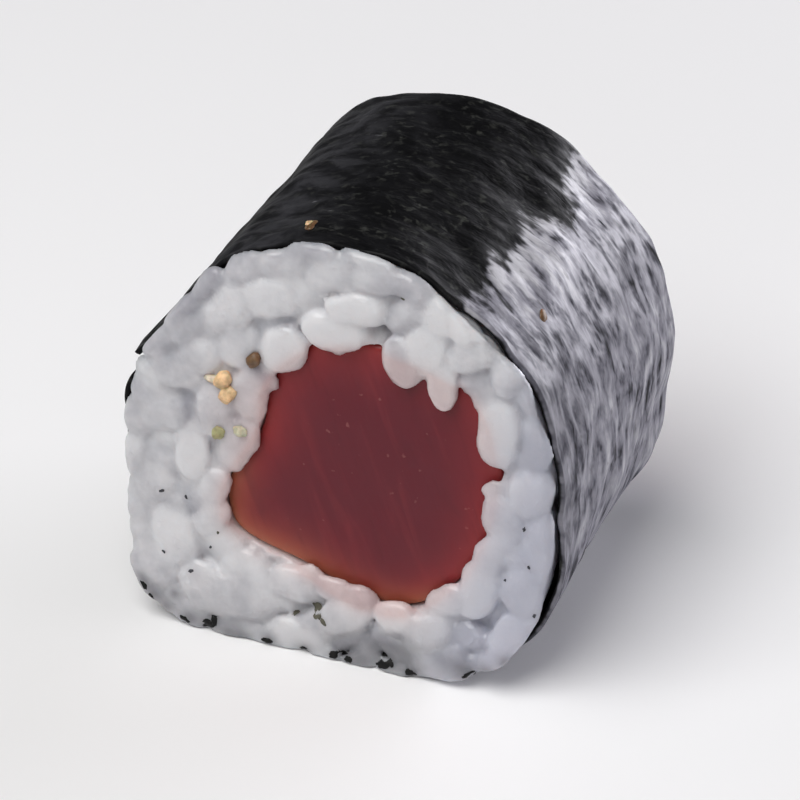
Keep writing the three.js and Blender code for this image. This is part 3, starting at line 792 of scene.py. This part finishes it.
class RiceGrid:
    """Distances to the rice's surface on a grid, negative inside, with each place's nearest grains."""

    def __init__(self, tuna):
        xs, zs = np.arange(*GRID_ACROSS, GRAIN_STEP), np.arange(*GRID_UP, GRAIN_STEP)
        half = np.array([*COARSE_LEVELS, *np.arange(FINE_FROM, FINE_TO, GRAIN_STEP)])
        ys = np.concatenate([-half[::-1], half])
        self.axes = xs, ys, zs
        self.section = xs, ys, zs - CENTRE_Z
        x, z = np.meshgrid(xs, zs - CENTRE_Z, indexing="ij")
        self.from_tuna = outline_distance(x, z, tuna)
        X, Y, Z = self.places = np.meshgrid(*self.section, indexing="ij")
        self.bumps = sum(
            height * noise(X / size, Y / size, Z / size, seed=seed) for height, size, seed in BUMPS
        )
        bend_x, bend_z = (
            GRAIN_BEND * noise(*(v / GRAIN_BEND_SIZE for v in self.places), seed=seed) for seed in (43, 44)
        )
        self.bent = X + bend_x, Y, Z + bend_z

        angle, reach = np.arctan2(z, x), np.hypot(x, z)
        outline = outline_radius(angle)
        lumps = lump_height(np.broadcast_to(angle[:, None, :], X.shape), Y)
        self.past_nori = reach[:, None, :] - (outline[:, None, :] + lumps - rice_inset(angle)[:, None, :])
        self.past_lip = (reach - outline - lip_reach(angle))[:, None, :] + 0.3 * (Y > 0)

        core = RICE_CORE_FACE - np.where(Y < 0, CLEFT_DEPTH * cleft_share(X, Z), FAR_CORE_BACK)
        field = np.maximum(self.past_nori + CORE_INSET, np.abs(Y) - core + CORE_ROUGHNESS * self.bumps)
        self.field = np.maximum(field, CORE_FROM_TUNA - self.from_tuna[:, None, :])
        self.nearest, self.second = np.full(X.shape, 3.0), np.full(X.shape, 3.0)
        self.weight, self.tones = np.full(X.shape, 1e-6), np.full(X.shape, 0.3e-6)

    def add_grain(self, side, x, z, turn, lean, length, width, top, tone, thickness):
        axes = grain_axes(turn, lean)
        half = np.array([1.04 * length, 1.08 * width, width * thickness]) / 2
        rise = math.hypot(half[0] * axes[0][1], half[2] * axes[2][1])
        face = float(front_face(x, z)) if side < 0 else RICE_FACE
        centre = np.array([x, side * (face - top + GRAIN_PROUD - rise), z])
        block = tuple(
            slice(*np.searchsorted(v, (c - half[0] - 1.0, c + half[0] + 1.0)))
            for v, c in zip(self.section, centre)
        )
        offset = [v[block] - c for v, c in zip(self.bent, centre)]
        distance = grain_distance(offset, axes, half) + self.bumps[block]
        self.field[block] = soft_min(self.field[block], distance, GRAIN_BLEND)
        share = np.exp(-np.clip(distance, -1, 2) / TONE_REACH)
        self.weight[block] += share
        self.tones[block] += share * tone
        self.second[block] = np.minimum(self.second[block], np.maximum(self.nearest[block], distance))
        self.nearest[block] = np.minimum(self.nearest[block], distance)

    def trim(self):
        """Cut the rice off at the nori and its rim, at the faces, round the tuna and above the floor."""
        X, Y, Z = self.places
        over_rim = smoothstep(np.abs(Y), *OVER_RIM)
        past_side = lerp(self.past_nori, self.past_lip, over_rim)
        face = np.where(Y < 0, front_face(X, Z), RICE_FACE)
        stick = np.maximum(self.from_tuna[:, None, :], np.abs(Y) - TUNA_HALF - TUNA_DOME - 0.04)
        field = soft_max(self.field, past_side, NORI_CUT + MORE_RIM_CUT * over_rim)
        field = soft_max(field, np.abs(Y) - face, FACE_CUT)
        field = soft_max(field, TUNA_CLEARANCE - stick, TUNA_CUT)
        self.field = soft_max(field, FLOOR_CLEARANCE - (Z + CENTRE_Z), FLOOR_CUT)
        join_corners(self.field)

    def add_values_to(self, piece, points):
        """Each point's tone and painted shade between and under grains, and its distance from the tuna."""
        near = tuple(
            np.clip(np.searchsorted(v, points[:, k]), 0, len(v) - 1) for k, v in enumerate(self.axes)
        )
        # Painted shade: darker where two grains meet and where the surface lies below the grains.
        shade_between_grains = np.exp(-(self.second - self.nearest) / CREVICE_SHADE_WIDTH)
        shade_under_grains = 1 - np.exp(-np.maximum(self.nearest, 0) / RECESS_SHADE_DEPTH)
        add_values(piece, "tone", (self.tones / self.weight)[near])
        add_values(piece, "crevice_shade", np.clip(shade_between_grains + shade_under_grains, 0, 1)[near])
        return np.maximum(self.from_tuna[near[0], near[2]], 0)

    def shown_face(self):
        """The y of the shown face over x and z, and its slopes, with 0 where there is no rice."""
        xs, ys, zs = self.section
        inside = self.field < 0
        first = np.maximum(np.argmax(inside, 1), 1)
        i, k = np.indices(first.shape)
        before, after = self.field[i, first - 1, k], self.field[i, first, k]
        share = np.clip(before / np.where(before - after > 1e-6, before - after, 1), 0, 1)
        y = np.where(inside.any(1), lerp(ys[first - 1], ys[first], share), 0.0)
        return {"x": xs, "z": zs, "y": y, "slope": np.gradient(y, GRAIN_STEP)}


def add_stains_and_shade(piece, points, from_tuna):
    """Where the rice is pink from the tuna, and its painted shade: bluish at the right, dark along its lower
    rim.
    """
    x, y, z = points[:, 0], points[:, 1], points[:, 2] - CENTRE_Z
    blush = 0.4 * np.exp(-from_tuna / 0.4) + 0.3 * spot(x, z, *STAIN) * np.exp(-from_tuna / 3)
    clouds = np.clip(0.45 + 0.6 * noise(x / 1.3, 0.0, z / 1.3, seed=46), 0, 0.75)
    # Painted shade: a cloudy dark patch low on the right, darker towards the bottom, and spots along the
    # lower rim.
    painted_shade = 0.75 * spot(x, z, *SHADE) * clouds + 0.14 * (1 - smoothstep(z, -13.0, -9.5))
    painted_shade += 0.6 * sum(spot(x, z, *middle, size, size) for *middle, size in RIM_SHADE_SPOTS)
    add_values(piece, "blush", np.clip(blush, 0, 0.9))
    # Painted shade: bluish towards the right and lower right.
    add_values(piece, "painted_cool_shade", 0.8 * smoothstep(x - 0.25 * z, 7.0, 14.0))
    add_values(piece, "painted_shade", np.clip(painted_shade, 0, 0.8) * (y < 0))


def build_rice():
    """The ring of rice with the grains of both faces, and the map of its shown face."""
    tuna = tuna_outline(COARSE_TUNA_ROUND)
    grid = RiceGrid(tuna)
    random = np.random.default_rng(GRAIN_SEED)
    for grain in choose_grains(random, tuna):
        grid.add_grain(*grain, thickness=random.uniform(*GRAIN_FLATNESS))
    grid.trim()
    points, quads = largest_part(*surface_net(grid.axes, grid.field))
    piece = make_object("rice_packed", points, [quads])
    add_stains_and_shade(piece, points, grid.add_values_to(piece, points))
    return piece, grid.shown_face()


# ---------------- crumbs and flecks

ORANGE, YELLOW, BROWN = (0.72, 0.49, 0.27), (0.72, 0.60, 0.46), (0.15, 0.08, 0.035)
OLIVE, PALE_OLIVE = (0.36, 0.34, 0.17), (0.55, 0.53, 0.38)
# Black is painted shade, for the dark hollows along the rice's lower rim.
MOSS, GREY, BLACK = (0.11, 0.105, 0.08), (0.06, 0.06, 0.07), (0.01, 0.01, 0.01)

# Crumbs on the shown face: x, z, turn, sizes along, outward and across, how deep they sit, and colour.
RICE_CRUMBS = (
    (-7.7, 4.2, 70, 1.3, 0.9, 1.1, -0.1, ORANGE), (-7.4, 3.4, 60, 1.3, 0.9, 1.0, -0.1, ORANGE),
    (-8.55, 4.05, 0, 1.1, 0.6, 0.7, -0.05, YELLOW), (-5.45, 6.15, 40, 1.2, 0.9, 0.9, -0.25, BROWN),
    (-8.1, 0.35, 60, 0.9, 0.6, 0.75, -0.05, OLIVE), (-6.55, 0.85, 10, 0.9, 0.5, 0.7, -0.05, PALE_OLIVE),
)
# Crumbs on the nori: angle in degrees, y, and the rest as above.
NORI_CRUMBS = (
    (100.5, -8.7, 80, 1.3, 0.3, 0.8, 0.05, BROWN), (101.5, -8.4, 30, 0.7, 0.35, 0.5, 0.05, ORANGE),
    (41, -5.4, 60, 1.0, 0.3, 0.7, 0.05, BROWN),
)
# Flecks on the shown face: x, z, turn, length and colour. Grey and moss ones are bits of nori; black ones
# along the lower rim are painted shade in the dark hollows there.
FLECKS = (
    (-12.3, -5.1, 30, 0.4, GREY), (-10.7, -5.3, 110, 0.35, GREY), (-9.0, -8.7, 60, 0.35, GREY),
    (-12.2, -9.6, 150, 0.35, GREY), (-10.1, -10.4, 20, 0.35, GREY), (-1.4, -11.7, 150, 1.0, MOSS),
    (-0.8, -12.0, 140, 0.6, MOSS), (12.4, -2.0, 80, 0.35, GREY), (12.8, -4.7, 100, 0.35, GREY),
    (4.3, 12.7, 20, 0.35, MOSS), (-3.1, -12.4, 5, 0.35, MOSS), (-13.5, -12.3, 120, 0.7, BLACK),
    (-13.0, -13.0, 130, 0.5, BLACK), (-8.9, -14.2, 30, 1.2, BLACK), (-8.5, -13.8, 100, 0.8, BLACK),
    (-4.7, -14.4, 0, 0.7, BLACK), (-2.2, -14.4, 10, 0.6, BLACK), (0.0, -14.3, 15, 1.0, BLACK),
    (0.9, -14.4, 0, 0.7, BLACK), (3.4, -14.15, 20, 1.2, BLACK), (3.9, -14.0, 110, 0.6, BLACK),
    (5.3, -14.35, 165, 0.8, BLACK), (-10.6, -14.2, 155, 0.7, BLACK), (13.2, -8.4, 80, 0.35, GREY),
    (11.2, -6.2, 40, 0.3, GREY), (-8.4, -7.4, 80, 0.3, MOSS), (9.2, -13.5, 30, 1.0, BLACK),
)
FLECK_THICKNESS, FLECK_WIDTH, FLECK_SINK = 0.16, 0.55, 0.02
# The most that a crumb leans with the rice, as a slope, and that a fleck bends to follow it.
STEEPEST, DEEPEST_BEND = 0.8, 0.5
LUMP_RINGS, LUMP_COLUMNS = 10, 18


def lump_points(centre, axes, size, rough, waves, seed):
    """The points of a small uneven lump with its own three axes and full sizes along them."""
    down = np.linspace(0, math.pi, LUMP_RINGS + 2)[1:-1]
    around = np.arange(LUMP_COLUMNS) * TURN / LUMP_COLUMNS
    down, around = np.meshgrid(down, around, indexing="ij")
    p = np.stack([np.sin(down) * np.cos(around), np.sin(down) * np.sin(around), np.cos(down)], -1)
    p = np.vstack([p.reshape(-1, 3), [[0, 0, 1], [0, 0, -1]]])
    p *= 1 + rough * noise(*(p * waves).T, seed=seed)[:, None]
    return centre + (p * np.array(size) / 2) @ np.array(axes)


def flat_direction(angle):
    return np.array([math.cos(angle), 0, math.sin(angle)])


def rice_place(face, x, z, turn, sink):
    """A place on the shown rice face, with axes along the surface, out of it and across."""
    here = np.searchsorted(face["x"], x), np.searchsorted(face["z"], z)
    slopes = [np.clip(slope[here], -STEEPEST, STEEPEST) for slope in face["slope"]]
    outward = np.array([slopes[0], -1.0, slopes[1]])
    outward /= np.linalg.norm(outward)
    along = flat_direction(math.radians(turn))
    along -= outward * (along @ outward)
    along /= np.linalg.norm(along)
    centre = np.array([x, face["y"][here], z + CENTRE_Z]) - sink * outward
    return centre, (along, outward, np.cross(along, outward))


def nori_place(angle, y, turn, sink):
    """A place on the outer layer of the nori, with axes along the surface, out of it and across."""
    a, t = math.radians(angle), math.radians(turn)
    layer_angle = a + TURN * (a < LAP_START)
    radius = float(outline_radius(a) + lump_height(a, y) + crinkle(layer_angle, y)) - sink
    outward = flat_direction(a)
    along = np.array([-math.sin(a) * math.cos(t), math.sin(t), math.cos(a) * math.cos(t)])
    centre = np.array([radius * math.cos(a), y, CENTRE_Z + radius * math.sin(a)])
    return centre, (along, outward, np.cross(along, outward))


def flat_place(x, z, turn):
    """A place in the roll's middle plane, for a fleck that is then laid on the shown face."""
    along, outward = flat_direction(math.radians(turn)), np.array([0, -1.0, 0])
    return np.array([x, 0, z + CENTRE_Z]), (along, outward, np.cross(along, outward))


def face_y(face, x, z):
    """The y of the shown rice face at places on it."""
    at_x, at_z = (
        np.clip((v - known[0]) / GRAIN_STEP, 0, len(known) - 1.001)
        for v, known in ((x, face["x"]), (z, face["z"]))
    )
    i, k = at_x.astype(int), at_z.astype(int)
    low, high = (lerp(face["y"][i, k + n], face["y"][i + 1, k + n], at_x - i) for n in (0, 1))
    return lerp(low, high, at_z - k)


def lay_on_face(face, centre, points):
    """Move a lump's points out to the shown face and bend them along it."""
    middle = float(face_y(face, centre[0], centre[2] - CENTRE_Z))
    bend = face_y(face, points[:, 0], points[:, 2] - CENTRE_Z) - middle
    points[:, 1] += middle + np.clip(bend, -DEEPEST_BEND, DEEPEST_BEND) + FLECK_SINK


def build_bits(name, bits, rough, waves, laid_on=None):
    """One mesh of lumps, each given as its place with its axes, its three sizes, and its colour."""
    points = []
    for seed, ((centre, axes), size, _) in enumerate(bits):
        points.append(lump_points(centre, axes, size, rough, waves, seed))
        if laid_on:
            lay_on_face(laid_on, centre, points[-1])
    count = len(points[0])
    shifts = np.arange(len(bits))[:, None, None] * count
    faces = [(f + shifts).reshape(-1, f.shape[1]) for f in tube_faces(LUMP_RINGS, LUMP_COLUMNS)]
    piece = make_object(name, np.vstack(points), faces)
    add_values(piece, "colour", np.repeat([colour for *_, colour in bits], count, axis=0))
    return piece


def build_crumbs(face):
    on_rice = [
        (rice_place(face, x, z, turn, sink), sizes, colour)
        for x, z, turn, *sizes, sink, colour in RICE_CRUMBS
    ]
    on_nori = [
        (nori_place(angle, y, turn, sink), sizes, colour)
        for angle, y, turn, *sizes, sink, colour in NORI_CRUMBS
    ]
    return build_bits("toasted_crumbs", on_rice + on_nori, rough=0.35, waves=1.6)


# Bits of nori on the shown face, and black flecks of painted shade in the hollows along its lower rim.
def build_flecks(face):
    flecks = [
        (flat_place(x, z, turn), (length, FLECK_THICKNESS, length * FLECK_WIDTH), colour)
        for x, z, turn, length, colour in FLECKS
    ]
    return build_bits("nori_bits_and_hollow_shade", flecks, rough=0.5, waves=1.9, laid_on=face)


# ---------------- stage

# The camera's azimuth and elevation in degrees and its distance, as seen from the shown face, and the
# point it looks at.
VIEW_AZIMUTH, VIEW_ELEVATION, VIEW_DISTANCE = 22.95, 33.0, 209.1
VIEWED_FACE, LOOK_AT = Vector((0, -10.7, 14.7)), Vector((0.2, -1.5, 13.6))
LENS, SENSOR, CLIP = 150.0, 36.0, (0.01, 20.0)
# The lights: azimuth, elevation, distance, width and height, power, and colour. They look at one point,
# and their sizes are in metres.
LIGHTS = (
    ("key", -28, 62, 0.55, (0.45, 0.45), 3.3, (1.0, 0.99, 0.975)),
    ("front", 15, 28, 0.6, (0.4, 0.3), 0.35, (1.0, 1.0, 1.0)),
    ("side", 147, 8, 0.5, (0.6, 0.23), 3.4, (0.94, 0.93, 1.0)),
)
LIT_POINT = Vector((0, 0, 0.012))
FLOOR_HALF = 1500.0


def point_at(thing, target):
    thing.rotation_euler = (target - thing.location).to_track_quat("-Z", "Y").to_euler()


def direction(azimuth, elevation):
    """From the piece towards a place, with azimuth 0 straight in front of the shown face."""
    a, e = math.radians(azimuth), math.radians(elevation)
    return Vector((math.sin(a) * math.cos(e), -math.cos(a) * math.cos(e), math.sin(e)))


def make_camera():
    data = bpy.data.cameras.new("camera")
    data.lens, data.sensor_width = LENS, SENSOR
    data.clip_start, data.clip_end = CLIP
    camera = scene.camera = put_in_scene(data)
    towards = direction(VIEW_AZIMUTH, VIEW_ELEVATION)
    camera.location = VIEWED_FACE * MM + towards * VIEW_DISTANCE * MM
    point_at(camera, LOOK_AT * MM)


def make_light(name, azimuth, elevation, distance, size, power, colour):
    data = bpy.data.lights.new(name, "AREA")
    data.shape = "RECTANGLE"
    data.size, data.size_y = size
    data.energy, data.color = power, colour
    light = put_in_scene(data)
    light.location = direction(azimuth, elevation) * distance + LIT_POINT
    point_at(light, LIT_POINT)
    light.visible_camera = False


def make_floor():
    corners = np.array([[-1, -1, 0], [1, -1, 0], [1, 1, 0], [-1, 1, 0]]) * FLOOR_HALF
    floor = make_object("floor", corners, [np.array([[0, 1, 2, 3]])])
    paint = new_material("floor").surface(
        Base_Color=rgb(0.88, 0.88, 0.89), Roughness=0.9, Specular_IOR_Level=0.1
    )
    floor.data.materials.append(paint)


def make_world():
    """Soft light from the horizon, which fades upwards."""
    scene.world = bpy.data.worlds.new("studio")
    world = NodeTree(scene.world)
    up = world.add("SeparateXYZ", {0: world.place("Generated")}).outputs["Z"]
    world.feed(world.nodes["Background"], {"Strength": world.ramp(up, 0.0, 0.42, 0.4, 0.03)})


make_camera()
make_floor()
for light in LIGHTS:
    make_light(*light)
make_world()
scene.view_settings.view_transform = "Standard"
scene.cycles.use_denoising = True

nori, tuna = build_nori(), build_tuna()
rice, rice_face = build_rice()
for piece, node, finish in (
    (nori, "nori", nori_material()),
    (rice, "rice", rice_material()),
    (tuna, "tuna", tuna_material()),
):
    piece.data.materials.append(finish)
    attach(piece, "root")
    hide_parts(node)

crumbs, flecks = build_crumbs(rice_face), build_flecks(rice_face)
crumbs.data.materials.append(bits_material("crumb", roughness=0.45, subsurface=0.3, shine=0.5))
flecks.data.materials.append(bits_material("nori_bit_and_hollow_shade", roughness=0.5, subsurface=0.0, shine=0.15))
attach(crumbs, "root")
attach(flecks, "root")
